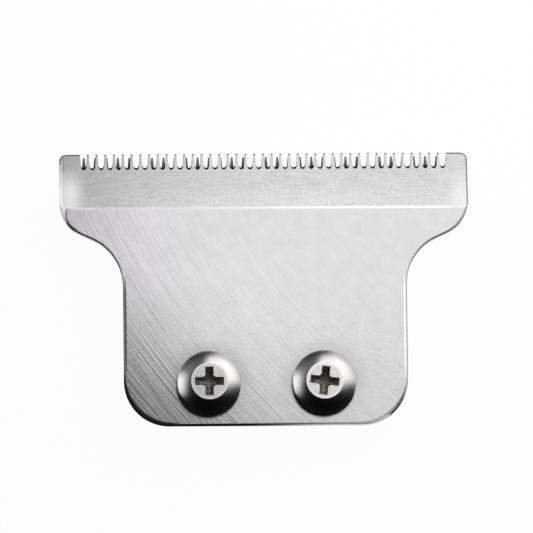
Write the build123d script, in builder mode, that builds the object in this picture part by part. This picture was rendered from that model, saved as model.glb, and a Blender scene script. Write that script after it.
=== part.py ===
from build123d import *
import os
from math import acos, asin, atan2, cos, degrees, pi, radians, sin, sqrt, tan

os.makedirs("parts", exist_ok=True)

# Frame: X across the tooth row, Y towards the tooth tips, Z out of the blade's face.
# The origin is under the middle of the blade's outline, on the plane of the seat's rim.

# Fixed blade: outline of the T
blade_width = 39.6
blade_height = 26.7
blade_thickness = 1.6
stem_width = 27.5
arm_side = 4.8
arm_corner_radius = 3.45
neck_radius = 5.0
neck_slope = 24.4
foot_radius = 4.4
tip_corner_radius = 0.7

# Rolled edge that blanking leaves round the face, wider on the outer corners
edge_roll = 0.1
edge_roll_height = 0.25
corner_roll_gain = 0.5

# Hollow-ground band from the ridge down to the tooth tips
band_height = 5.5
root_thickness = 0.62
tip_thickness = 0.3
tip_rounding = 0.14
band_hollow = 0.1
band_end_roll = 0.45
band_end_radius = 4.0

# Fixed teeth
tooth_pitch = 0.85
tooth_count = 41
tooth_depth = 1.62
slot_mouth = 0.75
slot_root = 0.52
slot_bow = 0.24
root_facets = 4
slot_lean = 26.0

# Lands on the rear face, with a shallow hollow between them
front_land = 2.35
relief_height = 6.0
relief_depth = 0.18

# Cutter
cutter_pitch = 1.105
cutter_tooth_count = 33
cutter_tooth_depth = 1.7
cutter_tooth_tip = 0.17
cutter_tooth_root = 0.5
cutter_gap = 0.3
cutter_height = 9.9
cutter_thickness = 1.4
cutter_tip_thickness = 0.4
cutter_bevel_height = 4.9
cutter_end_height = 3.0
cutter_body_width = 23.6
cutter_body_height = 3.5
cutter_corner_radius = 1.0
cutter_rest = -0.82
oil_film = 0.02

# Groove along the cutter's back for the spring's tips
groove_offset = 1.85
groove_width = 1.8
groove_depth = 0.3

# Screws and the inserts that they go into
screw_spacing = 11.16
screw_offset = 3.88
screw_diameter = 3.0
screw_length = 5.0
head_diameter = 6.18
head_height = 2.1
head_rim = 1.25
head_edge = 0.06
head_flat = 3.6
dome_radius = 4.87
cross_span = 2.82
cross_width = 0.8
cross_depth = 1.3
cross_taper = 10.0
right_screw_turn = -7.0
hole_clearance = 0.2
thread_clearance = 0.02
insert_diameter = 4.2
insert_length = 3.0

# Moulded seat behind the stem
seat_depth = 4.2
seat_width = 25.2
seat_floor = 1.0
seat_wall = 1.1
seat_setback = 1.05
seat_cutter_gap = 0.45
seat_foot_radius = 3.4
seat_front_radius = 0.8
boss_diameter = 5.6
boss_recess = 0.6
latch_length = 3.2
latch_height = 1.3

# Stakes that hold the spring on the seat's floor
stake_diameter = 1.6
stake_head = 2.6
stake_head_height = 0.6
stake_spacing = 6.4
stake_fit = 0.05

# Flat tension spring with two fingers
spring_thickness = 0.4
spring_width = 18.0
spring_base = 3.2
spring_boss_gap = 0.4
spring_corner = 0.8
finger_root = 2.9
finger_tip = 1.8
finger_rise_start = 0.6
finger_rise_share = 0.775
finger_bend = 0.65
foot_reach = 1.2
foot_lip = 0.9
spring_clearance = 0.05

# Drive block
block_width = 7.2
block_height = 4.4
block_flange = 0.8
block_corner = 0.6
block_rim_gap = 0.5
fork_slot = 2.6
fork_wall = 1.2
peg_diameter = 1.6
peg_spacing = 5.2
peg_inset = 1.0
peg_fit = 0.02
peg_short = 0.2
block_setback = 0.45

# Levels worked out from the sizes above
back_z = seat_depth
face_z = back_z + blade_thickness
tip_y = blade_height / 2
foot_y = -blade_height / 2
ridge_y = tip_y - band_height
root_y = tip_y - tooth_depth
arm_y = tip_y - arm_side
screw_y = foot_y + screw_offset
screw_places = [(-screw_spacing / 2, screw_y), (screw_spacing / 2, screw_y)]

cutter_front_z = back_z - oil_film
cutter_back_z = cutter_front_z - cutter_thickness
cutter_tip_y = tip_y - cutter_gap
cutter_rear_y = cutter_tip_y - cutter_height
groove_y = cutter_rear_y + groove_offset
groove_floor_z = cutter_back_z + groove_depth

seat_front_y = cutter_rear_y - seat_cutter_gap
seat_rear_y = foot_y + seat_setback
floor_z = seat_depth - seat_floor

spring_rear_y = screw_y + boss_diameter / 2 + spring_boss_gap
spring_front_y = spring_rear_y + spring_base
stake_y = (spring_rear_y + spring_front_y) / 2
stake_places = [(-stake_spacing / 2, stake_y), (stake_spacing / 2, stake_y)]

slope = radians(neck_slope)
corner_sweep = 90 - neck_slope
stem_top_y = (
    arm_y
    - arm_corner_radius * sin(radians(corner_sweep))
    - (
        (blade_width - stem_width) / 2
        - (arm_corner_radius + neck_radius) * (1 - cos(radians(corner_sweep)))
    )
    * tan(slope)
    - neck_radius * sin(radians(corner_sweep))
)


def blade_outline(inset, gain):
    """The T outline, drawn inset from the true edge with wider outer corners."""
    arm_x = blade_width / 2 - inset
    stem_x = stem_width / 2 - inset
    bottom = foot_y + inset
    top = tip_y - inset
    foot_r = foot_radius - inset + gain
    arm_r = arm_corner_radius - inset + gain
    neck_r = neck_radius + inset
    neck_x = stem_width / 2 + neck_radius
    arm_centre_y = arm_y + gain * (1 - sin(slope)) / cos(slope)
    tip_r = tip_corner_radius
    with BuildSketch() as outline:
        with BuildLine():
            Line((0, bottom), (stem_x - foot_r, bottom))
            foot_arc = CenterArc((stem_x - foot_r, bottom + foot_r), foot_r, -90, 90)
            Line(foot_arc @ 1, (stem_x, stem_top_y))
            neck_arc = CenterArc((neck_x, stem_top_y), neck_r, 180, -corner_sweep)
            arm_arc = CenterArc((arm_x - arm_r, arm_centre_y), arm_r, -corner_sweep, corner_sweep)
            Line(neck_arc @ 1, arm_arc @ 0)
            Line(arm_arc @ 1, (arm_x, top - tip_r))
            tip_arc = CenterArc((arm_x - tip_r, top - tip_r), tip_r, 0, 90)
            Line(tip_arc @ 1, (0, top))
            mirror(about=Plane.YZ)
        make_face()
    return outline.sketch


def wheel_section():
    """What the wheel takes off above the hollow-ground band, as a section in Y and Z."""
    ridge_drop = 0.03
    ridge_half = 0.11
    wheel_slope = 0.31
    reach = 3.0
    top = face_z + 3.0
    front = tip_y + 1.0
    rear = ridge_y - reach
    start = (ridge_y - 2 * ridge_half, face_z + ridge_drop / 2)
    rise = (rear, start[1] + wheel_slope * reach)
    ridge = (ridge_y + ridge_half, face_z - ridge_drop)
    root = (root_y, back_z + root_thickness)
    middle = ((ridge[0] + root[0]) / 2, (ridge[1] + root[1]) / 2 - band_hollow)
    tip_top = (tip_y - tip_rounding, back_z + tip_thickness)
    tip_front = (tip_y, back_z + tip_thickness - tip_rounding)
    tip_bow = tip_rounding * (1 - sin(pi / 4))
    tip_middle = (tip_y - tip_bow, back_z + tip_thickness - tip_bow)
    with BuildSketch() as section:
        with BuildLine():
            Polyline(rise, start, ridge)
            ThreePointArc(ridge, middle, root)
            Polyline(root, tip_top, tip_middle, tip_front)
            Polyline(tip_front, (front, tip_front[1]), (front, top), (rear, top), rise)
        make_face()
    return section.sketch


def tooth_slot(root_width, bow, length, end_half):
    """One slot between two teeth, from its bowed root at the origin to its open end."""
    bow_radius = (root_width**2 / 4 + bow**2) / (2 * bow)
    bow_half = asin(root_width / 2 / bow_radius)
    root = []
    for step in range(root_facets + 1):
        angle = bow_half * (2 * step / root_facets - 1)
        root.append((bow_radius * sin(angle), bow_radius * (1 - cos(angle))))
    with BuildSketch() as slot:
        with BuildLine():
            Polyline(*root, (end_half, length), (-end_half, length), close=True)
        make_face()
    return slot.sketch


# Grinding of the band: straight along the blade, rolled off towards both ends
with BuildPart() as ground_away:
    roll_x = blade_width / 2 - band_end_roll
    roll_z = back_z + root_thickness - band_end_radius
    roll_angle = degrees(asin(band_end_roll / (band_end_radius - root_thickness))) + 8
    with BuildSketch(Plane.YZ):
        add(wheel_section())
    extrude(amount=roll_x, both=True)
    with BuildSketch(Plane.YZ.offset(roll_x)):
        add(wheel_section())
    revolve(axis=Axis((roll_x, 0, roll_z), (0, 1, 0)), revolution_arc=roll_angle)
    with BuildSketch(Plane.YZ.offset(-roll_x)):
        add(wheel_section())
    revolve(axis=Axis((-roll_x, 0, roll_z), (0, -1, 0)), revolution_arc=roll_angle)

# Fixed blade
with BuildPart() as fixed_blade:
    with BuildSketch(Plane.XY.offset(back_z)):
        add(blade_outline(0, 0))
    extrude(amount=blade_thickness - edge_roll_height)
    for angle in (0, 45, 90):
        share = 1 - cos(radians(angle))
        level = face_z - edge_roll_height * (1 - sin(radians(angle)))
        with BuildSketch(Plane.XY.offset(level)):
            add(blade_outline(edge_roll * share, corner_roll_gain * share))
    loft(ruled=True)
    add(ground_away.part, mode=Mode.SUBTRACT)
    # Slots between the teeth, leaning so that their roots show from the face
    lean = radians(slot_lean)
    slot_length = 2 * tooth_depth
    slot_flare = (slot_mouth - slot_root) / 2 / tooth_depth
    slot_plane = Plane(
        origin=(0, root_y, back_z + root_thickness), x_dir=(1, 0, 0), z_dir=(0, -sin(lean), cos(lean))
    )
    with BuildSketch(slot_plane):
        with GridLocations(tooth_pitch, 1, tooth_count + 1, 1):
            add(tooth_slot(slot_root, slot_bow, slot_length, slot_root / 2 + slot_flare * slot_length))
    extrude(amount=blade_thickness, both=True, mode=Mode.SUBTRACT)
    # Shallow hollow across the back, between the front and the rear land
    relief_top = tip_y - front_land
    with BuildSketch(Plane.YZ):
        with BuildLine():
            ThreePointArc(
                (relief_top, back_z),
                (relief_top - relief_height / 2, back_z + relief_depth),
                (relief_top - relief_height, back_z),
            )
            Polyline(
                (relief_top - relief_height, back_z),
                (relief_top - relief_height, back_z - 0.5),
                (relief_top, back_z - 0.5),
                (relief_top, back_z),
            )
        make_face()
    extrude(amount=blade_width, both=True, mode=Mode.SUBTRACT)
    # Screw holes
    with BuildSketch(Plane.XY.offset(back_z)):
        with Locations(*screw_places):
            Circle(screw_diameter / 2 + hole_clearance)
    extrude(amount=blade_thickness, mode=Mode.SUBTRACT)

fixed_blade.part.label = "fixed_blade"
export_step(fixed_blade.part, "parts/fixed_blade.step")

# Cutter, drawn at its photographed place a little left of the middle
with BuildPart() as cutter_blade:
    cutter_half = cutter_tooth_count * cutter_pitch / 2
    body_half = cutter_body_width / 2
    body_top_y = cutter_rear_y + cutter_body_height
    end_y = cutter_tip_y - cutter_end_height
    with BuildSketch(Plane.XY.offset(cutter_back_z)) as cutter_outline:
        with BuildLine():
            Polyline(
                (0, cutter_tip_y),
                (cutter_half, cutter_tip_y),
                (cutter_half, end_y),
                (body_half, body_top_y),
                (body_half, cutter_rear_y),
                (0, cutter_rear_y),
            )
            mirror(about=Plane.YZ)
        make_face()
        lower_corners = cutter_outline.vertices().filter_by(lambda v: v.Y < cutter_tip_y - 0.1)
        fillet(lower_corners, cutter_corner_radius)
    extrude(amount=cutter_thickness)
    # Long bevel on the back, down to the thin tips
    with BuildSketch(Plane.YZ):
        bevel_y = cutter_tip_y - cutter_bevel_height
        bevel_z = cutter_front_z - cutter_tip_thickness
        bevel_rise = (bevel_z - cutter_back_z) / cutter_bevel_height
        with BuildLine():
            Polyline(
                (bevel_y - 0.5, cutter_back_z - 0.5 * bevel_rise),
                (cutter_tip_y + 0.5, bevel_z + 0.5 * bevel_rise),
                (cutter_tip_y + 0.5, cutter_back_z - 1.0),
                (bevel_y - 0.5, cutter_back_z - 1.0),
                close=True,
            )
        make_face()
    extrude(amount=blade_width, both=True, mode=Mode.SUBTRACT)
    # Teeth, with half a slot beyond the first and the last one
    cut_mouth = cutter_pitch - cutter_tooth_tip
    cut_root = cutter_pitch - cutter_tooth_root
    cut_length = 2 * cutter_tooth_depth
    with BuildSketch(Plane.XY.offset(cutter_back_z)):
        with GridLocations(cutter_pitch, 1, cutter_tooth_count + 1, 1):
            with Locations((0, cutter_tip_y)):
                Trapezoid(
                    2 * cut_mouth - cut_root,
                    cut_length,
                    degrees(atan2(2 * cutter_tooth_depth, cut_mouth - cut_root)),
                    rotation=180,
                )
    extrude(amount=cutter_thickness, mode=Mode.SUBTRACT)
    # Groove along the back for the spring's tips
    with BuildSketch(Plane.XY.offset(cutter_back_z)):
        with Locations((0, groove_y)):
            Rectangle(2 * cutter_half, groove_width)
    extrude(amount=groove_depth, mode=Mode.SUBTRACT)
    # Holes for the drive block's pegs
    peg_y = cutter_rear_y + block_setback + block_height - peg_inset
    with BuildSketch(Plane.XY.offset(cutter_back_z)):
        with Locations((-peg_spacing / 2, peg_y), (peg_spacing / 2, peg_y)):
            Circle(peg_diameter / 2 + peg_fit)
    extrude(amount=cutter_thickness, mode=Mode.SUBTRACT)

cutter_blade.part = cutter_blade.part.moved(Location((cutter_rest, 0, 0)))
cutter_blade.part.label = "cutter_blade"
export_step(cutter_blade.part, "parts/cutter_blade.step")

# Drive block on the cutter's back: a flange on two pegs and a fork for the drive pin
with BuildPart() as drive_block:
    block_y = cutter_rear_y + block_setback + block_height / 2
    flange_z = cutter_back_z - block_flange
    with BuildSketch(Plane.XY.offset(cutter_back_z)):
        with Locations((cutter_rest, block_y)):
            RectangleRounded(block_width, block_height, block_corner)
    extrude(amount=-block_flange)
    with BuildSketch(Plane.XY.offset(flange_z)):
        fork_centre = (fork_slot + fork_wall) / 2
        with Locations((cutter_rest - fork_centre, block_y), (cutter_rest + fork_centre, block_y)):
            RectangleRounded(fork_wall, block_height, fork_wall / 4)
    extrude(amount=-(flange_z - block_rim_gap))
    with BuildSketch(Plane.XY.offset(cutter_back_z)):
        with Locations((cutter_rest - peg_spacing / 2, peg_y), (cutter_rest + peg_spacing / 2, peg_y)):
            Circle(peg_diameter / 2)
    extrude(amount=cutter_thickness - peg_short)

drive_block.part.label = "drive_block"
export_step(drive_block.part, "parts/drive_block.step")

# Moulded seat: a tray open to the rear, with screw bosses and stakes for the spring
with BuildPart() as blade_seat:
    seat_height = seat_front_y - seat_rear_y
    seat_y = (seat_front_y + seat_rear_y) / 2
    with BuildSketch() as seat_outline:
        with Locations((0, seat_y)):
            Rectangle(seat_width, seat_height)
        fillet(seat_outline.vertices().group_by(Axis.Y)[0], seat_foot_radius)
        fillet(seat_outline.vertices().group_by(Axis.Y)[-1], seat_front_radius)
    extrude(amount=seat_depth)
    with BuildSketch() as tray:
        with Locations((0, seat_y + seat_wall)):
            Rectangle(seat_width - 2 * seat_wall, seat_height)
        fillet(tray.vertices().group_by(Axis.Y)[0], seat_foot_radius - seat_wall)
    extrude(amount=floor_z, mode=Mode.SUBTRACT)
    # Bosses for the screws
    with BuildSketch(Plane.XY.offset(boss_recess)):
        with Locations(*screw_places):
            Circle(boss_diameter / 2)
    extrude(amount=floor_z - boss_recess)
    # Stakes through the spring, each with a melted head
    with BuildSketch(Plane.XY.offset(floor_z)):
        with Locations(*stake_places):
            Circle(stake_diameter / 2)
    extrude(amount=-spring_thickness - stake_head_height / 2)
    with BuildSketch(Plane.XY.offset(floor_z - spring_thickness)):
        with Locations(*stake_places):
            Circle(stake_head / 2)
    extrude(amount=-stake_head_height, taper=20)
    # Latch windows in the side walls
    latch_y = seat_y - seat_height / 8
    for side in (-1, 1):
        with BuildSketch(Plane.YZ.offset(side * (seat_width / 2 - 1.5 * seat_wall))):
            with Locations((latch_y, seat_floor + latch_height / 2)):
                Rectangle(latch_length, latch_height)
        extrude(amount=side * 2 * seat_wall, mode=Mode.SUBTRACT)
    # Bores for the inserts, and screw holes through the floor
    with BuildSketch(Plane.XY.offset(boss_recess)):
        with Locations(*screw_places):
            Circle(insert_diameter / 2 + thread_clearance)
    extrude(amount=insert_length, mode=Mode.SUBTRACT)
    with BuildSketch(Plane.XY.offset(boss_recess)):
        with Locations(*screw_places):
            Circle(screw_diameter / 2 + hole_clearance)
    extrude(amount=seat_depth, mode=Mode.SUBTRACT)

blade_seat.part.label = "blade_seat"
export_step(blade_seat.part, "parts/blade_seat.step")

# Threaded inserts in the bosses
with BuildPart() as threaded_inserts:
    with BuildSketch(Plane.XY.offset(boss_recess)):
        with Locations(*screw_places):
            Circle(insert_diameter / 2)
            Circle(screw_diameter / 2 + thread_clearance, mode=Mode.SUBTRACT)
    extrude(amount=insert_length)

threaded_inserts.part.label = "threaded_inserts"
export_step(threaded_inserts.part, "parts/threaded_inserts.step")

# Screws with domed heads and cross recesses
with BuildPart() as mounting_screws:
    head_radius = head_diameter / 2
    flat_radius = head_flat / 2
    edge_radius = head_radius - head_edge
    shank_radius = screw_diameter / 2
    dome_start = degrees(acos(edge_radius / dome_radius))
    dome_end = degrees(acos(flat_radius / dome_radius))
    dome_centre = head_height - sqrt(dome_radius**2 - flat_radius**2)
    edge_z = dome_centre + sqrt(dome_radius**2 - edge_radius**2)
    for place, turn in zip(screw_places, (0, right_screw_turn)):
        axis_place = (place[0], place[1], face_z)
        with BuildSketch(Plane(origin=axis_place, x_dir=(1, 0, 0), z_dir=(0, -1, 0))):
            with BuildLine():
                Polyline(
                    (0, head_height),
                    (0, -screw_length),
                    (shank_radius, -screw_length),
                    (shank_radius, 0),
                    (head_radius, 0),
                    (head_radius, head_rim),
                    (edge_radius, edge_z),
                )
                CenterArc((0, dome_centre), dome_radius, dome_start, dome_end - dome_start)
                Line((flat_radius, head_height), (0, head_height))
            make_face()
        revolve(axis=Axis(axis_place, (0, 0, 1)))
        with BuildSketch(Plane.XY.offset(face_z + head_height)):
            with Locations(Location((place[0], place[1], 0), turn)):
                Rectangle(cross_span, cross_width)
                Rectangle(cross_width, cross_span)
        extrude(amount=-cross_depth, taper=cross_taper, mode=Mode.SUBTRACT)

mounting_screws.part.label = "mounting_screws"
export_step(mounting_screws.part, "parts/mounting_screws.step")

# Flat tension spring: a base on the seat's floor and two fingers whose feet press in the cutter's groove
with BuildPart() as tension_spring:
    bend_drop = finger_bend * (sqrt(2) - 1)
    foot_z = groove_floor_z - spring_clearance + bend_drop
    arm_z = foot_z - foot_reach
    rise_y = spring_front_y + finger_rise_start
    bend_y = groove_y - foot_reach
    rise_end_y = rise_y + finger_rise_share * (bend_y - rise_y)
    with BuildSketch(Plane.YZ):
        with BuildLine():
            FilletPolyline(
                (spring_rear_y, floor_z),
                (rise_y, floor_z),
                (rise_end_y, arm_z),
                (bend_y, arm_z),
                (groove_y, foot_z),
                (groove_y + foot_lip, foot_z - foot_lip),
                radius=finger_bend,
            )
            offset(amount=spring_thickness, side=Side.RIGHT)
        make_face()
    extrude(amount=spring_width, both=True)
    with BuildSketch() as plan:
        with Locations((0, stake_y)):
            Rectangle(spring_width, spring_base)
        finger_mid = (spring_width - finger_root) / 2
        finger_end = groove_y + 2 * foot_reach
        for side in (-1, 1):
            with BuildLine():
                Polyline(
                    (side * finger_mid - finger_root / 2, stake_y),
                    (side * finger_mid - finger_tip / 2, finger_end),
                    (side * finger_mid + finger_tip / 2, finger_end),
                    (side * finger_mid + finger_root / 2, stake_y),
                    close=True,
                )
            make_face()
        fillet(plan.vertices().group_by(Axis.Y)[0], spring_corner)
        with Locations(*stake_places):
            Circle(stake_diameter / 2 + stake_fit, mode=Mode.SUBTRACT)
    extrude(amount=seat_depth, mode=Mode.INTERSECT)

tension_spring.part.label = "tension_spring"
export_step(tension_spring.part, "parts/tension_spring.step")
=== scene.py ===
"""Look of a T-shaped hair clipper blade set with two domed screws, lying face up on a pale floor."""

import bmesh
import bpy
from math import acos, atan2, cos, pi, radians, sin, sqrt
from mathutils import Matrix, Vector


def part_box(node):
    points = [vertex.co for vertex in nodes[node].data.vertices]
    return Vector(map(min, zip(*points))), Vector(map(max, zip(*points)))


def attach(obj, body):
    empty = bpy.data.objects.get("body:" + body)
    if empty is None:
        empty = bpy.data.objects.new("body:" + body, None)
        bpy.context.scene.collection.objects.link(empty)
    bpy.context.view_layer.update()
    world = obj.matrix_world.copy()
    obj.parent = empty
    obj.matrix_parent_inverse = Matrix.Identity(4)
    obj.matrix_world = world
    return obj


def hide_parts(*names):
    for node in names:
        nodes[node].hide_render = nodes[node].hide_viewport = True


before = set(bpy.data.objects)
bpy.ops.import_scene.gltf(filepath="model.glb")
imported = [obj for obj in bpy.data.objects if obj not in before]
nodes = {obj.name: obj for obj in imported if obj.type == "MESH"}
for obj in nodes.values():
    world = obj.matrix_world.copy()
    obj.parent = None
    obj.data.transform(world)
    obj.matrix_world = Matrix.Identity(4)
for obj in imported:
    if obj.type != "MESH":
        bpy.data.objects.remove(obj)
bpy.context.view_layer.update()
MM = 0.001


def box_mm(node):
    """A node's lowest and highest corners, in millimetres."""
    low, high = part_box(node)
    return Vector(low) / MM, Vector(high) / MM


# Sizes of the blade in millimetres: the foot is the stem's lower end, the row is the row of teeth
blade_low, blade_high = box_mm("fixed_blade")
half_width = blade_high.x
tip_y = blade_high.y
foot_y = blade_low.y
face_z = blade_high.z
back_z = blade_low.z
ridge_y = 7.85
root_y = 11.73
row_half = 17.7
stem_half = 13.75
corner_radius = 0.7
foot_radius = 4.4

# The bend of a painted dark shade line at the left arm's end, in millimetres
bend_x = -17.7
bend_y = 7.2
bend_radius = 1.53

# The grinding wheel that left the scratches, in millimetres
wheel_x = 49.4
wheel_y = 37.1
wheel_radius = 70.0

# Sizes and places of the screws in millimetres, and how far each is turned in degrees
screws_low, screws_high = box_mm("mounting_screws")
head_radius = (screws_high.y - screws_low.y) / 2
head_height = screws_high.z - face_z
head_rim = 1.25
head_edge = 0.06
head_under_edge = 0.05
flat_radius = 1.8
flat_edge = 0.04
flat_edge_drop = 0.004
flat_inset = 0.03
dome_radius = 4.87
screw_x = screws_high.x - head_radius
screw_y = (screws_high.y + screws_low.y) / 2
screw_places = [(-screw_x, screw_y), (screw_x, screw_y)]
screw_turns = [0.0, -7.0]

# Shank and thread in millimetres
shank_radius = 1.5
shank_length = face_z - screws_low.z
shank_chamfer = 0.3
chamfer_slope = 0.8
thread_pitch = 0.5
thread_cut = 0.26
thread_runout = 0.9
thread_fade = 0.5
crest_slope = 1.5
crest_start = 0.2

# Cross recess in millimetres, with its floor's sizes as shares of its mouth's
cross_span = 2.82
cross_width = 0.8
cross_depth = 1.3
cross_corner = 0.3
lip_narrowing = 0.06
lip_depth = 0.05
floor_span_share = 0.66
floor_width_share = 0.62
floor_corner_share = 0.8
floor_depth_share = 0.75

# How finely the screws are divided
round_steps = 96
thread_rows = 120
rim_steps = 8
dome_steps = 14
corner_steps = 4

# Shader inputs whose names aren't the plain title of a keyword
INPUT_NAMES = {"specular_ior_level": "Specular IOR Level"}


def feed(tree, target, value):
    """Links a field to a node's input, or sets the input to a number."""
    if isinstance(value, Field):
        tree.links.new(value.socket, target)
    else:
        target.default_value = value


class Field:
    """A number that varies over a surface, with arithmetic that adds nodes to a tree."""

    def __init__(self, tree, socket):
        self.tree = tree
        self.socket = socket

    def math(self, operation, *others):
        node = self.tree.nodes.new("ShaderNodeMath")
        node.operation = operation
        for target, value in zip(node.inputs, (self, *others)):
            feed(self.tree, target, value)
        return Field(self.tree, node.outputs[0])

    def __add__(self, other):
        return self.math("ADD", other)

    def __sub__(self, other):
        return self.math("SUBTRACT", other)

    def __mul__(self, other):
        return self.math("MULTIPLY", other)

    def __truediv__(self, other):
        return self.math("DIVIDE", other)

    def root(self):
        return self.math("SQRT")

    def size(self):
        return self.math("ABSOLUTE")

    def low(self, other):
        return self.math("MINIMUM", other)

    def high(self, other):
        return self.math("MAXIMUM", other)

    def inverse(self):
        """What this field lacks to 1."""
        return self * -1.0 + 1.0

    def between(self, start, end, low, high):
        """Goes smoothly from low to high as this field goes from start to end."""
        node = self.tree.nodes.new("ShaderNodeMapRange")
        node.interpolation_type = "SMOOTHSTEP"
        self.tree.links.new(self.socket, node.inputs["Value"])
        node.inputs["From Min"].default_value = start
        node.inputs["From Max"].default_value = end
        node.inputs["To Min"].default_value = low
        node.inputs["To Max"].default_value = high
        return Field(self.tree, node.outputs["Result"])

    def rise(self, start, end, top=1.0):
        """Goes smoothly from 0 up to top as this field goes from start to end."""
        return self.between(start, end, 0.0, top)

    def fall(self, start, end, top=1.0):
        """Goes smoothly from top down to 0 as this field goes from start to end."""
        return self.between(start, end, top, 0.0)

    def line(self, middle, core, edge, top=1.0):
        """A soft line where this field is near a value: full within core of it, gone past edge."""
        return (self - middle).size().fall(core, edge, top)


def length(across, upward):
    """Length of a line from its two parts."""
    return (across * across + upward * upward).root()


def to_upper_right(across, upward):
    """How far a place lies towards the upper right, the cleaner and brighter side."""
    return across * 0.63 + upward * 0.78


def from_screws(x, y):
    """How far a point is from the nearest screw's axis."""
    left, right = [length(x - px, y - py) for px, py in screw_places]
    return left.low(right)


class Surface:
    """A material with a metal or plastic shader and the fields that its detail is made of."""

    def __init__(self, name):
        self.material = bpy.data.materials.new(name)
        self.material.use_nodes = True
        self.tree = self.material.node_tree
        self.shader = self.tree.nodes["Principled BSDF"]
        self.places = self.tree.nodes.new("ShaderNodeTexCoord")

    def split(self, socket):
        """The three parts of a vector."""
        node = self.tree.nodes.new("ShaderNodeSeparateXYZ")
        self.tree.links.new(socket, node.inputs[0])
        return [Field(self.tree, output) for output in node.outputs]

    def place(self):
        """Where a point is, in millimetres of the part's own frame."""
        return [axis / MM for axis in self.split(self.places.outputs["Object"])]

    def normal(self):
        """Which way a point faces, in the part's own frame."""
        return self.split(self.places.outputs["Normal"])

    def noise(self, x, y, z, detail=2.0, rough=0.5):
        """Soft noise, whose spots are about 1 apart in x, y and z. A plain number for z picks a layer."""
        place = self.tree.nodes.new("ShaderNodeCombineXYZ")
        for target, value in zip(place.inputs, (x, y, z)):
            feed(self.tree, target, value)
        node = self.tree.nodes.new("ShaderNodeTexNoise")
        node.noise_dimensions = "3D"
        node.inputs["Scale"].default_value = 1.0
        node.inputs["Detail"].default_value = detail
        node.inputs["Roughness"].default_value = rough
        self.tree.links.new(place.outputs[0], node.inputs["Vector"])
        return Field(self.tree, node.outputs[0])

    def colour(self, amount, low, high):
        """A colour that goes from low to high as the amount goes from 0 to 1."""
        node = self.tree.nodes.new("ShaderNodeMix")
        node.data_type = "RGBA"
        self.tree.links.new(amount.socket, node.inputs["Factor"])
        for name, value in (("A", low), ("B", high)):
            target = [s for s in node.inputs if s.name == name and s.type == "RGBA"][0]
            if isinstance(value, tuple):
                target.default_value = (*value, 1.0)
            else:
                self.tree.links.new(value, target)
        return [s for s in node.outputs if s.type == "RGBA"][0]

    def paint(self, colour):
        self.tree.links.new(colour, self.shader.inputs["Base Color"])

    def set(self, **values):
        """Sets the shader's inputs to numbers or fields."""
        for name, value in values.items():
            feed(self.tree, self.shader.inputs[INPUT_NAMES.get(name, name.title())], value)

    def bump(self, height, depth_mm, strength):
        """Makes the surface look raised by up to a depth."""
        node = self.tree.nodes.new("ShaderNodeBump")
        node.inputs["Strength"].default_value = strength
        node.inputs["Distance"].default_value = depth_mm * MM
        self.tree.links.new(height.socket, node.inputs["Height"])
        self.tree.links.new(node.outputs[0], self.shader.inputs["Normal"])


class BladePlaces:
    """Where a point of the blade is, in millimetres from the lines that its wear follows."""

    def __init__(self, s):
        self.x, self.y, self.z = s.place()
        self.from_left = self.x + half_width
        self.from_right = self.x * -1.0 + half_width
        self.from_tips = self.y * -1.0 + tip_y
        self.from_foot = self.y - foot_y
        self.from_ridge = self.y - ridge_y
        self.from_bend = length(self.x - bend_x, self.y - bend_y)
        self.inward = to_upper_right(self.x, self.y)
        self.sideways, _, upwards = s.normal()
        self.level = upwards.size()


def wheel_scratches(s, at):
    """Scratches in arcs of the grinding wheel: plain at the lower left, faint at the upper right."""
    across = at.x - wheel_x
    upward = at.y - wheel_y
    radius = length(across, upward)
    along = upward.math("ARCTAN2", across) * wheel_radius
    fine = s.noise(radius * 9.0, along * 0.1, 0.0, detail=1.0).rise(0.3, 0.7)
    cuts = s.noise(radius * 6.0, along * 0.08, 7.0, detail=1.0).rise(0.58, 0.64)
    strays = s.noise(radius * 6.0, along * 0.06, 11.0, detail=0.0).rise(0.72, 0.77)
    lower_left = at.inward.fall(-18.0, -6.0, 0.76)
    left_arm = at.x.fall(-16.0, -8.0, 0.25)
    overall = at.inward.between(-5.0, 6.0, 0.33, 0.05)
    arcs = (fine * 0.8 - cuts * 0.6 - 0.28) * (lower_left + left_arm + overall)
    dust = s.noise(at.x * 4.0, at.y * 4.0, 2.0, detail=2.0, rough=0.7) - 0.5
    dust = dust * at.from_foot.between(6.35, 14.35, 0.9, 0.16)
    blotches = s.noise(at.x * 0.8, at.y * 0.8, 3.0, detail=3.0, rough=0.6) * 0.5 - 0.27
    return arcs + strays * 0.15 + dust + blotches


def band_grain(s, at):
    """Grain of the hollow band, mottled and drawn out a little along the edge, with dark specks."""
    mottle = s.noise(at.x * 4.4, at.y * 6.0, at.z * 6.0, detail=2.0, rough=0.7)
    marks = s.noise(at.x * 0.5, at.y * 4.5, 5.0, detail=2.0)
    specks = s.noise(at.x * 2.1, at.y * 2.1, 9.0, detail=1.0).rise(0.72, 0.78)
    return mottle * 0.78 + marks * 0.42 - specks * 0.5


def face_colour(s, at, detail):
    """Grey of the flat face, with a faint violet cast at its upper left."""
    shade = detail.rise(-0.9, 0.9)
    grey = s.colour(shade, (0.41, 0.409, 0.412), (0.70, 0.699, 0.702))
    violet = s.colour(shade, (0.431, 0.421, 0.434), (0.735, 0.718, 0.740))
    upper_left = at.x.fall(-13.0, -4.0) * at.from_foot.rise(9.35, 14.35)
    return s.colour(upper_left, grey, violet)


def band_colour(s, at, grain):
    """Grey of the hollow band, lighter towards the ridge."""
    shade = grain.rise(0.3, 0.85)
    plain = s.colour(shade, (0.405, 0.399, 0.402), (0.575, 0.567, 0.571))
    lighter = s.colour(shade, (0.455, 0.449, 0.452), (0.655, 0.647, 0.651))
    near_ridge = at.from_tips.rise(2.75, 5.15) * at.x.between(4.0, 16.0, 1.0, 0.5)
    return s.colour(near_ridge, plain, lighter)


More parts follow.
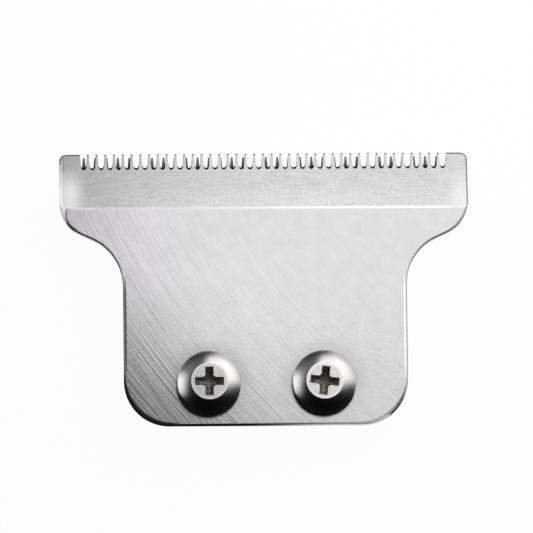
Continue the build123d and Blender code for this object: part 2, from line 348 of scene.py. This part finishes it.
def painted_end_highlight(at):
    """Painted highlight at the left arm's end: a sliver outside the dark bend, and the end of the band."""
    sliver = at.from_bend.rise(bend_radius + 0.03, bend_radius + 0.21) * at.from_left.fall(1.2, 1.8)
    sliver = sliver * at.from_ridge.rise(-1.95, -1.25) * at.from_ridge.fall(0.0, 0.3, 0.9)
    band_end = at.from_left.fall(0.3, 0.9, 0.55) * at.from_ridge.rise(-0.4, -0.1)
    band_end = band_end * at.from_tips.rise(1.15, 2.35)
    return sliver.high(band_end)


def paint_highlights(s, at, band, end_highlight, colour):
    """Paints highlights on the band's two ends, the ridge line and the stem's right side."""
    ends = at.from_right.fall(0.9, 2.2, 0.25).high(at.from_left.fall(1.0, 2.8))
    ends = ends * at.from_tips.rise(0.75, 4.15) * band
    # Painted highlight, near white, on the band's ends and at the left arm's end
    colour = s.colour(ends.high(end_highlight), colour, (0.96, 0.96, 0.96))
    # Painted highlight along the ridge
    ridge = at.from_ridge.line(-0.04, 0.06, 0.17) * at.from_left.rise(0.7, 1.3)
    ridge = ridge * at.from_right.between(1.4, 2.3, 0.4, 1.0)
    shine = at.x.rise(-8.0, 9.0).high(at.from_left.fall(2.6, 4.4, 0.9))
    colour = s.colour(ridge, colour, s.colour(shine, (0.62, 0.62, 0.62), (0.77, 0.77, 0.77)))
    # Painted highlight along the stem's right side
    stem = at.x.line(stem_half - 0.25, 0.03, 0.13)
    stem = stem * at.from_foot.rise(3.95, 5.75) * at.from_foot.fall(12.75, 15.15)
    return s.colour(stem, colour, (0.78, 0.78, 0.78))


def dirt_and_painted_shade(s, at):
    """Painted shade round the screws' heads and at the lower left, and dirt in broken lines below and beside
    the slots.
    """
    apart = from_screws(at.x, at.y)
    # Painted shade where each head meets the face, and round it a painted shadow and dark reflection of the
    # head, stronger away from the foot
    ring = apart.fall(head_radius + 0.02, head_radius + 0.12, 0.4)
    halo = apart.fall(head_radius - 0.2, head_radius + 1.8, 0.22)
    halo = halo * at.from_foot.between(0.85, 4.85, 0.3, 1.0)
    # Painted shade at the lower left
    lower_left_shade = at.inward.fall(-16.8, -11.0, 0.24)
    dashes = s.noise(at.x * 1.3, 0.0, 4.0, detail=2.0).rise(0.48, 0.62)
    below = at.y.line(root_y - 0.28, 0.03, 0.1)
    beside = at.y.line(root_y, 0.03, 0.09) * at.x.size().rise(row_half, row_half + 0.2)
    seam = below.high(beside) * dashes * 0.22
    return ring.high(halo).high(seam).high(lower_left_shade)


def sheared_sides(at, band, right_corner):
    """Dark scale with painted shade on the upright sides. Their torn lower part and the foot's right side are
    cleaner and lighter.
    """
    above_foot = at.from_foot.rise(4.35, 6.35)
    scale_and_shade = at.z.between(back_z + 0.55, back_z + 0.95, 0.12, 1.0) * at.x.between(8.0, 15.0, 1.0, 0.8)
    scale_and_shade = scale_and_shade * at.x.between(-2.0, 8.0, 1.0, 0.5).high(above_foot)
    scale_and_shade = scale_and_shade.high(right_corner)
    less_dark = above_foot.high(at.x.rise(-3.0, 6.0))
    return ((scale_and_shade - 1.0) * less_dark + 1.0).high(band) * at.level.fall(0.2, 0.45)


def rolled_edges(at, right_corner):
    """Dark scale with painted shade on the rolled edges of the slots and of the foot's two corners."""
    slots = at.y.rise(root_y - 0.6, root_y - 0.4)
    left_corner = at.sideways.fall(-0.55, -0.2) * at.from_foot.fall(4.35, 5.85)
    return at.level.fall(0.74, 0.88) * left_corner.high(slots).high(right_corner)


def arm_corners(at):
    """A dark rim of painted shade round the corners at the two ends of the row of teeth."""
    past_x = (at.x.size() - (half_width - corner_radius)).high(0.0)
    past_y = (at.from_tips * -1.0 + corner_radius).high(0.0)
    rim = length(past_x, past_y).rise(corner_radius - 0.17, corner_radius - 0.09)
    left = at.from_left.between(0.4, 0.9, 0.05, 0.85).high(at.from_tips.fall(0.65, 1.35, 0.75))
    return rim * left * at.from_right.between(0.4, 0.9, 0.7, 1.0)


def foot_corner(at):
    """A thick dark rim of painted shade round the foot's left corner."""
    past_x = (at.x * -1.0 - (stem_half - foot_radius)).high(0.0)
    past_y = (at.from_foot * -1.0 + foot_radius).high(0.0)
    reach = length(past_x, past_y) + past_x * past_y * 0.02
    rim = reach.rise(foot_radius - 0.24, foot_radius - 0.08, 0.98)
    return rim * at.x.fall(-9.4, -8.0) * at.from_foot.fall(4.15, 5.15)


def stem_side(at):
    """A dark line of painted shade along the stem's left side."""
    side = at.x.line(0.17 - stem_half, 0.05, 0.17, 0.75)
    return side * at.from_foot.rise(3.85, 5.85) * at.from_foot.fall(12.85, 14.85)


def left_bend(at):
    """The dark line of painted shade that bends round inside the left arm's end."""
    line = at.from_bend.line(bend_radius, 0.03, 0.14) * at.from_left.fall(1.2, 1.8)
    return line * at.from_ridge.fall(-0.2, 0.0) * at.from_ridge.between(-2.15, -0.25, 0.95, 0.45)


def scale_and_painted_shade(at, band):
    """Dark scale on the blade's edges, where the grinding wheel didn't reach, made into near-black lines by
    painted shade and painted dark reflections.
    """
    # Painted shade on the side at the foot's right corner
    right_corner = at.x.rise(11.7, 12.2) * at.from_foot.fall(2.45, 3.15, 0.9)
    scale_and_shade = sheared_sides(at, band, right_corner).high(rolled_edges(at, right_corner))
    for mark in (arm_corners, foot_corner, stem_side, left_bend):
        scale_and_shade = scale_and_shade.high(mark(at))
    return scale_and_shade


def blade_steel():
    """Ground steel: scratches in arcs on the face, fine grain on the hollow band, dark sheared sides with
    painted shade, and painted highlights and painted shade marks.
    """
    s = Surface("blade_steel")
    at = BladePlaces(s)
    band = at.from_ridge.rise(-0.05, 0.1)
    grain = band_grain(s, at)
    detail = wheel_scratches(s, at) * band.inverse() + grain * band
    end_highlight = painted_end_highlight(at)
    scale_and_shade = scale_and_painted_shade(at, band) * end_highlight.inverse()
    colour = s.colour(band, face_colour(s, at, detail), band_colour(s, at, grain))
    # Painted highlights on the band's ends, the ridge and the stem's right side
    colour = paint_highlights(s, at, band, end_highlight, colour)
    # Dirt, with painted shade round the screws and at the lower left
    colour = s.colour(dirt_and_painted_shade(s, at), colour, (0.10, 0.095, 0.09))
    # Near-black scale and painted shade on the edges
    s.paint(s.colour(scale_and_shade, colour, (0.016, 0.016, 0.017)))

    # The dark scale with its painted shade, and the painted highlight at the left end, don't mirror the room
    s.set(metallic=scale_and_shade.high(end_highlight).inverse(), specular_ior_level=0.0)

    # Slanted edges are duller than the faces and the sides
    slanted = at.level.rise(0.5, 0.62) * at.level.fall(0.86, 0.92)
    cloud = s.noise(at.x * 0.22, at.y * 0.22, at.z * 0.22, detail=2.0)
    s.set(roughness=cloud * 0.06 + detail * 0.05 + scale_and_shade * 0.3 + slanted * 0.45 + 0.17)

    # The band's left end is rubbed flatter than the solid's edge
    past_end = (at.from_left - 0.45).low(0.0)
    flatter = past_end * past_end * band * 55.0
    s.bump(detail + flatter, 0.004, 0.8)
    return s.material


def cutter_steel():
    """Ground steel with grain along the row of teeth. The teeth are painted dark as shade under the fixed
    blade, less so at their tips.
    """
    s = Surface("cutter_steel")
    x, y, z = s.place()
    grain = s.noise(x * 0.6, y * 14.0, z * 6.0, detail=3.0, rough=0.6)
    cloud = s.noise(x * 0.3, y * 0.3, z * 0.3)
    # Painted shade on the teeth, lighter at their tips
    teeth_shade = y.rise(10.3, 11.3)
    teeth = s.colour(y.rise(11.9, 12.9), (0.045, 0.043, 0.042), (0.17, 0.168, 0.165))
    body = s.colour(grain, (0.24, 0.24, 0.245), (0.40, 0.40, 0.405))
    s.paint(s.colour(teeth_shade, body, teeth))
    s.set(metallic=1.0, roughness=cloud * 0.12 + grain * 0.1 + 0.24)
    s.bump(grain, 0.004, 0.5)
    return s.material


def spring_steel():
    """Rolled strip with its grain along the fingers."""
    s = Surface("spring_steel")
    x, y, z = s.place()
    grain = s.noise(x * 9.0, y * 0.5, z * 0.5, detail=3.0, rough=0.6)
    cloud = s.noise(x * 0.5, y * 0.5, z * 0.5)
    s.paint(s.colour(grain * 0.6 + cloud * 0.4, (0.42, 0.42, 0.43), (0.62, 0.62, 0.63)))
    s.set(metallic=1.0, roughness=cloud * 0.15 + grain * 0.08 + 0.2)
    s.bump(grain, 0.003, 0.5)
    return s.material


def insert_brass():
    """Turned brass with the tool's fine rings."""
    s = Surface("insert_brass")
    x, y, z = s.place()
    turning = s.noise(x * 2.0, y * 2.0, z * 16.0, detail=2.0)
    cloud = s.noise(x * 1.2, y * 1.2, z * 1.2)
    s.paint(s.colour(cloud, (0.70, 0.50, 0.20), (0.84, 0.66, 0.32)))
    s.set(metallic=1.0, roughness=turning * 0.12 + cloud * 0.1 + 0.18)
    s.bump(turning, 0.004, 0.5)
    return s.material


def moulded(name, dark, light, roughness):
    """Moulded plastic with the fine texture of a spark-eroded mould."""
    s = Surface(name)
    x, y, z = s.place()
    fine = s.noise(x * 7.0, y * 7.0, z * 7.0, detail=3.0, rough=0.7)
    cloud = s.noise(x * 0.35, y * 0.35, z * 0.35)
    s.paint(s.colour(fine * 0.5 + cloud * 0.5, dark, light))
    s.set(roughness=fine * 0.15 + cloud * 0.1 + roughness)
    s.bump(fine, 0.012, 0.6)
    return s.material


def screw_chrome():
    """Polished chrome: a scuffed flat top with a painted highlight at its lip, and a painted dark reflection
    low on the dome's foot side.
    """
    s = Surface("screw_chrome")
    x, y, z = s.place()
    _, forwards, upwards = s.normal()
    flat = upwards.rise(0.96, 0.995)
    swirl = s.noise(x * 3.0, y * 3.0, z * 3.0, detail=3.0, rough=0.6)
    fine = s.noise(x * 10.0, y * 10.0, z * 10.0, detail=2.0)
    scuffs = s.noise(x * 5.0, y * 5.0, 1.0, detail=3.0, rough=0.7).rise(0.3, 0.7)
    # Painted dark reflection low on the dome's foot side, not metallic
    painted_dark_reflection = z.fall(face_z + 1.4, face_z + 1.48) * forwards.fall(-0.38, -0.2)
    polished = s.colour(swirl, (0.63, 0.622, 0.604), (0.71, 0.702, 0.684))
    scuffed = s.colour(scuffs, (0.54, 0.535, 0.525), (0.86, 0.855, 0.845))
    # Painted highlight at the flat top's lip, mixed into the scuffed colour
    lip = from_screws(x, y).rise(flat_radius - 0.3, flat_radius - 0.12)
    scuffed = s.colour(lip * 0.6, scuffed, (0.92, 0.92, 0.915))
    s.paint(s.colour(painted_dark_reflection, s.colour(flat, polished, scuffed), (0.03, 0.028, 0.026)))
    s.set(metallic=painted_dark_reflection.fall(0.8, 1.0), specular_ior_level=0.0)
    s.set(roughness=flat * 0.08 + swirl * 0.05 + 0.2)
    s.bump(swirl * 0.6 + fine * flat, 0.004, 0.5)
    return s.material


def recess_dark():
    """Dark, mottled metal in the cross recess, with a painted pool of light in the middle."""
    s = Surface("recess_dark")
    x, y, z = s.place()
    dirt = s.noise(x * 4.0, y * 4.0, z * 4.0, detail=3.0, rough=0.6)
    worn = s.colour(dirt.rise(0.35, 0.7), (0.12, 0.104, 0.09), (0.46, 0.42, 0.375))
    # Painted pool of light in the middle of the recess
    middle = from_screws(x, y).fall(0.2, 0.62, 0.7)
    s.paint(s.colour(middle, worn, (0.56, 0.52, 0.47)))
    s.set(metallic=0.35, roughness=dirt * 0.2 + 0.35)
    s.bump(dirt, 0.02, 0.6)
    return s.material


def clamp(value):
    """The value, kept from 0 to 1."""
    return min(1.0, max(0.0, value))


def round_ring(mesh, radii, height):
    """Adds a ring of points about the vertical axis at one height, one for each radius."""
    ring = []
    for step, radius in enumerate(radii):
        angle = 2 * pi * step / len(radii)
        ring.append(mesh.verts.new((radius * cos(angle), radius * sin(angle), height)))
    return ring


def neighbours(ring):
    """Each item of a ring with the one after it."""
    return zip(ring, ring[1:] + ring[:1])


def skin(mesh, rings, smooth, material):
    """Joins each ring of points to the next one by faces."""
    for lower, upper in zip(rings, rings[1:]):
        for (a, b), (d, c) in zip(neighbours(lower), neighbours(upper)):
            face = mesh.faces.new((a, b, c, d))
            face.smooth = smooth
            face.material_index = material


def thread_radius(height, turn):
    """The shank's radius at a height below the head and a share of a turn."""
    phase = (height / thread_pitch - turn) % 1.0
    crest = clamp(abs(2 * phase - 1) * crest_slope - crest_start)
    cut = thread_cut * (1 - crest) * clamp((-height - thread_runout) / thread_fade)
    chamfer = max(0.0, shank_chamfer - (height + shank_length)) * chamfer_slope
    return shank_radius - max(cut, chamfer)


def add_shank(mesh):
    """The threaded shank, from its tip to the head."""
    rings = []
    for row in range(thread_rows + 1):
        height = -shank_length + shank_length * row / thread_rows
        radii = [thread_radius(height, step / round_steps) for step in range(round_steps)]
        rings.append(round_ring(mesh, radii, height))
    skin(mesh, rings, True, 0)
    mesh.faces.new(list(reversed(rings[0])))


def head_profile():
    """Radius and height of points from under the head, round its rim and up its dome to the flat top."""
    dome_centre = head_height - sqrt(dome_radius**2 - flat_radius**2)
    edge_radius = head_radius - head_edge
    edge_rise = sqrt(dome_radius**2 - edge_radius**2)
    edge_drop = dome_centre + edge_rise - head_rim
    edge_turn = pi / 2 - atan2(edge_radius, edge_rise)
    profile = [(shank_radius, 0.0), (head_radius - head_under_edge, 0.0), (head_radius, head_under_edge)]
    for step in range(rim_steps + 1):
        angle = edge_turn * step / rim_steps
        inwards = head_edge * (1 - cos(angle)) / (1 - cos(edge_turn))
        profile.append((head_radius - inwards, head_rim + edge_drop * sin(angle) / sin(edge_turn)))
    start = acos(edge_radius / dome_radius)
    end = acos((flat_radius + flat_edge) / dome_radius)
    for step in range(1, dome_steps + 1):
        angle = start + (end - start) * step / dome_steps
        profile.append((dome_radius * cos(angle), dome_centre + dome_radius * sin(angle)))
    profile.append((flat_radius, head_height - flat_edge_drop))
    profile.append((flat_radius - flat_inset, head_height))
    return profile


def add_head(mesh):
    """The head up to its flat top, whose rim of points it returns."""
    rings = [round_ring(mesh, [radius] * round_steps, height) for radius, height in head_profile()]
    skin(mesh, rings, True, 0)
    return rings[-1]


def cross_ring(mesh, span, width, corner, height):
    """The outline of a cross recess at one height, with its inner corners rounded."""
    half = span / 2
    arm = width / 2
    quarter = [(half, -arm), (half, arm)]
    for step in range(corner_steps + 1):
        angle = pi / 2 * step / corner_steps
        quarter.append((arm + corner - corner * sin(angle), arm + corner - corner * cos(angle)))
    ring = []
    for turn in range(4):
        angle = turn * pi / 2
        for px, py in quarter:
            point = (px * cos(angle) - py * sin(angle), px * sin(angle) + py * cos(angle), height)
            ring.append(mesh.verts.new(point))
    return ring


def add_recess(mesh, rim):
    """The flat top inside its rim, and the tapered cross recess in it."""
    mouth = cross_ring(mesh, cross_span, cross_width, cross_corner, head_height)
    lip_span = cross_span - lip_narrowing
    lip = cross_ring(mesh, lip_span, cross_width - lip_narrowing, cross_corner, head_height - lip_depth)
    floor_span = cross_span * floor_span_share
    floor_width = cross_width * floor_width_share
    floor_corner = cross_corner * floor_corner_share
    floor_height = head_height - cross_depth * floor_depth_share
    floor = cross_ring(mesh, floor_span, floor_width, floor_corner, floor_height)
    tip = mesh.verts.new((0, 0, head_height - cross_depth))
    edges = [mesh.edges.new(pair) for pair in neighbours(mouth)]
    edges += [mesh.edges.get(pair) for pair in neighbours(rim)]
    bmesh.ops.triangle_fill(mesh, use_beauty=True, edges=edges, normal=(0, 0, 1))
    skin(mesh, [mouth, lip], False, 0)
    skin(mesh, [lip, floor], False, 1)
    for a, b in neighbours(floor):
        face = mesh.faces.new((a, b, tip))
        face.material_index = 1


def make_screw(name, place, turn, materials):
    """A domed screw with a tapered cross recess and a cut thread."""
    mesh = bmesh.new()
    add_shank(mesh)
    add_recess(mesh, add_head(mesh))
    bmesh.ops.recalc_face_normals(mesh, faces=mesh.faces)
    turning = Matrix.Rotation(radians(turn), 4, "Z")
    moving = Matrix.Translation(Vector((*place, face_z)) * MM)
    bmesh.ops.transform(mesh, matrix=moving @ Matrix.Scale(MM, 4) @ turning, verts=mesh.verts)
    data = bpy.data.meshes.new(name)
    mesh.to_mesh(data)
    mesh.free()
    screw = bpy.data.objects.new(name, data)
    bpy.context.scene.collection.objects.link(screw)
    for material in materials:
        data.materials.append(material)
    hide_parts("mounting_screws")
    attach(screw, "blade_set")


# Materials on the solids
finishes = {
    "fixed_blade": blade_steel(),
    "cutter_blade": cutter_steel(),
    "tension_spring": spring_steel(),
    "threaded_inserts": insert_brass(),
    "blade_seat": moulded("seat_plastic", (0.018, 0.018, 0.019), (0.04, 0.04, 0.042), 0.42),
    "drive_block": moulded("block_plastic", (0.78, 0.77, 0.72), (0.88, 0.87, 0.83), 0.34),
}
for name, material in finishes.items():
    nodes[name].data.materials.clear()
    nodes[name].data.materials.append(material)

# Screws, finer than the solids that they stand for
screw_materials = (screw_chrome(), recess_dark())
for side, place, turn in zip(("left", "right"), screw_places, screw_turns):
    make_screw("screw_" + side, place, turn, screw_materials)


def make_camera():
    """A camera at the photo's angle, nearly without perspective. It aims at a place above the screws."""
    field_mm = 51.59
    distance = 1.8
    sensor_mm = 36.0
    lean_x = -0.04
    lean_y = -0.158
    roll = radians(0.72)
    aim_right_mm = 0.01
    aim_up_mm = 11.36
    towards = Vector((lean_x, lean_y, sqrt(1 - lean_x**2 - lean_y**2)))
    level = Vector((0, 1, 0)).cross(towards).normalized()
    rise = towards.cross(level)
    right = level * cos(roll) - rise * sin(roll)
    up = rise * cos(roll) + level * sin(roll)
    aim = (Vector((0, screw_y, face_z)) + right * aim_right_mm + up * aim_up_mm) * MM
    data = bpy.data.cameras.new("camera")
    data.sensor_width = sensor_mm
    data.lens = sensor_mm * distance / (field_mm * MM)
    data.clip_start = 0.01
    data.clip_end = 50.0
    camera = bpy.data.objects.new("camera", data)
    bpy.context.scene.collection.objects.link(camera)
    turning = Matrix((right, up, towards)).transposed().to_4x4()
    camera.matrix_world = Matrix.Translation(aim + towards * distance) @ turning
    bpy.context.scene.camera = camera


def soft_panel(name, level_mm, size_mm, radiance, pattern):
    """A level panel of light that the camera doesn't see, as bright at each place as its pattern says."""
    data = bpy.data.lights.new(name, "AREA")
    data.shape = "SQUARE"
    data.size = size_mm * MM
    data.energy = radiance * pi * data.size**2
    data.use_nodes = True
    tree = data.node_tree
    geometry = tree.nodes.new("ShaderNodeNewGeometry")
    parts = tree.nodes.new("ShaderNodeSeparateXYZ")
    tree.links.new(geometry.outputs["Position"], parts.inputs[0])
    across = Field(tree, parts.outputs[0]) / MM
    along = Field(tree, parts.outputs[1]) / MM
    fill = pattern(across, along)
    tree.links.new(fill.socket, tree.nodes["Emission"].inputs["Strength"])
    light = bpy.data.objects.new(name, data)
    bpy.context.scene.collection.objects.link(light)
    light.location = (0.0, 0.0, level_mm * MM)
    light.visible_camera = False
    return light


def top_box_pattern(across, along):
    """A soft box at the upper right: its left and lower edges fade out, and the corner between is cut off."""
    lean = along * 0.03 + (along - 60.0).high(0.0) * 0.04
    sag = (across - 60.0).high(0.0) * -0.15 - across.low(0.0) * 0.08
    edges = (across - lean).rise(-34.0, -4.0) * (along + sag).rise(-46.0, 18.0)
    inward = to_upper_right(across, along)
    corner = inward.rise(-1.4, 0.8) * inward.between(4.0, 14.0, 1.2, 1.0)
    far_away = along.between(100.0, 310.0, 1.0, 0.05) * across.between(90.0, 230.0, 1.0, 0.45)
    return edges * corner * far_away


def side_ring_pattern(across, along):
    """A wide ring round the front and the left, dark inside and at the upper right, dim at the far left."""
    radius = length(across, along)
    ring = (radius - along * 0.4).rise(100.0, 340.0)
    divisor = radius.high(1.0)
    upper_right = (across * 0.77 + along * 0.64) / divisor
    leftmost = across / divisor
    return ring * upper_right.fall(0.2, 0.6) * leftmost.between(-1.0, -0.85, 0.35, 1.0)


def make_lights():
    """The soft box, and a ring of light for the blade alone, whose flat faces mirror the dark without it."""
    soft_panel("top_box", level_mm=90.0, size_mm=600.0, radiance=1.3, pattern=top_box_pattern)
    ring = soft_panel("side_ring", level_mm=300.0, size_mm=4000.0, radiance=0.75, pattern=side_ring_pattern)
    receivers = bpy.data.collections.new("lit_by_side_ring")
    receivers.objects.link(nodes["fixed_blade"])
    ring.light_linking.receiver_collection = receivers


def sky_box(sky, azimuth, zenith, reach_across, reach_up, soft):
    """A soft-edged rectangle of the sky, in the direction that two angles in degrees give."""
    a = radians(azimuth)
    t = radians(zenith)

    def along(axis):
        return sky[0] * axis[0] + sky[1] * axis[1] + sky[2] * axis[2]

    depth = along((sin(t) * cos(a), sin(t) * sin(a), cos(t)))
    near = depth.high(0.05)
    across = along((-sin(a), cos(a), 0.0)) / near
    upward = along((-cos(t) * cos(a), -cos(t) * sin(a), sin(t))) / near
    fill = across.size().fall(reach_across - soft, reach_across + soft)
    fill = fill * upward.size().fall(reach_up - soft, reach_up + soft)
    return fill * depth.rise(0.05, 0.2)


def make_world():
    """Soft studio surroundings: a large box at the upper right, a strip at the left, dark in front."""
    world = bpy.data.worlds.new("studio")
    bpy.context.scene.world = world
    world.use_nodes = True
    tree = world.node_tree
    background = tree.nodes["Background"]
    places = tree.nodes.new("ShaderNodeTexCoord")
    parts = tree.nodes.new("ShaderNodeSeparateXYZ")
    tree.links.new(places.outputs["Generated"], parts.inputs[0])
    sky = [Field(tree, output) for output in parts.outputs]
    dx, dy, dz = sky
    key = sky_box(sky, azimuth=40, zenith=80, reach_across=0.75, reach_up=0.3, soft=0.3)
    strip = sky_box(sky, azimuth=175, zenith=76, reach_across=0.35, reach_up=0.37, soft=0.24)
    glow = sky_box(sky, azimuth=150, zenith=76, reach_across=0.4, reach_up=0.5, soft=0.3)
    dim = (dy + dx * 0.25).between(-0.25, 0.35, 0.001, 0.13) * (dz * dz * 3.5).low(1.0)
    total = dim + key * 0.74 + strip * 1.4 + glow * 0.12
    tree.links.new(total.socket, background.inputs["Strength"])
    background.inputs["Color"].default_value = (1.0, 1.0, 1.0, 1.0)


def make_floor():
    """A wide pale floor that stays white to the camera and keeps a soft shadow."""
    reach = 6.0
    level_z = -0.00002
    seen_share = 0.97
    data = bpy.data.meshes.new("floor")
    corners = [(-reach, -reach), (reach, -reach), (reach, reach), (-reach, reach)]
    data.from_pydata([(x, y, level_z) for x, y in corners], [], [(0, 1, 2, 3)])
    floor = bpy.data.objects.new("floor", data)
    bpy.context.scene.collection.objects.link(floor)
    material = bpy.data.materials.new("floor")
    material.use_nodes = True
    tree = material.node_tree
    tree.nodes.clear()
    output = tree.nodes.new("ShaderNodeOutputMaterial")
    diffuse = tree.nodes.new("ShaderNodeBsdfDiffuse")
    diffuse.inputs["Color"].default_value = (0.85, 0.85, 0.85, 1.0)
    glow = tree.nodes.new("ShaderNodeEmission")
    glow.inputs["Color"].default_value = (1.0, 1.0, 1.0, 1.0)
    glow.inputs["Strength"].default_value = 1.0
    path = tree.nodes.new("ShaderNodeLightPath")
    seen = Field(tree, path.outputs["Is Camera Ray"])
    seen = seen.high(Field(tree, path.outputs["Is Glossy Ray"]))
    seen = seen.high(Field(tree, path.outputs["Is Transmission Ray"]))
    mix = tree.nodes.new("ShaderNodeMixShader")
    tree.links.new((seen * seen_share).socket, mix.inputs[0])
    tree.links.new(diffuse.outputs[0], mix.inputs[1])
    tree.links.new(glow.outputs[0], mix.inputs[2])
    tree.links.new(mix.outputs[0], output.inputs["Surface"])
    data.materials.append(material)


# Studio
make_camera()
make_lights()
make_world()
make_floor()
bpy.context.scene.view_settings.view_transform = "Standard"
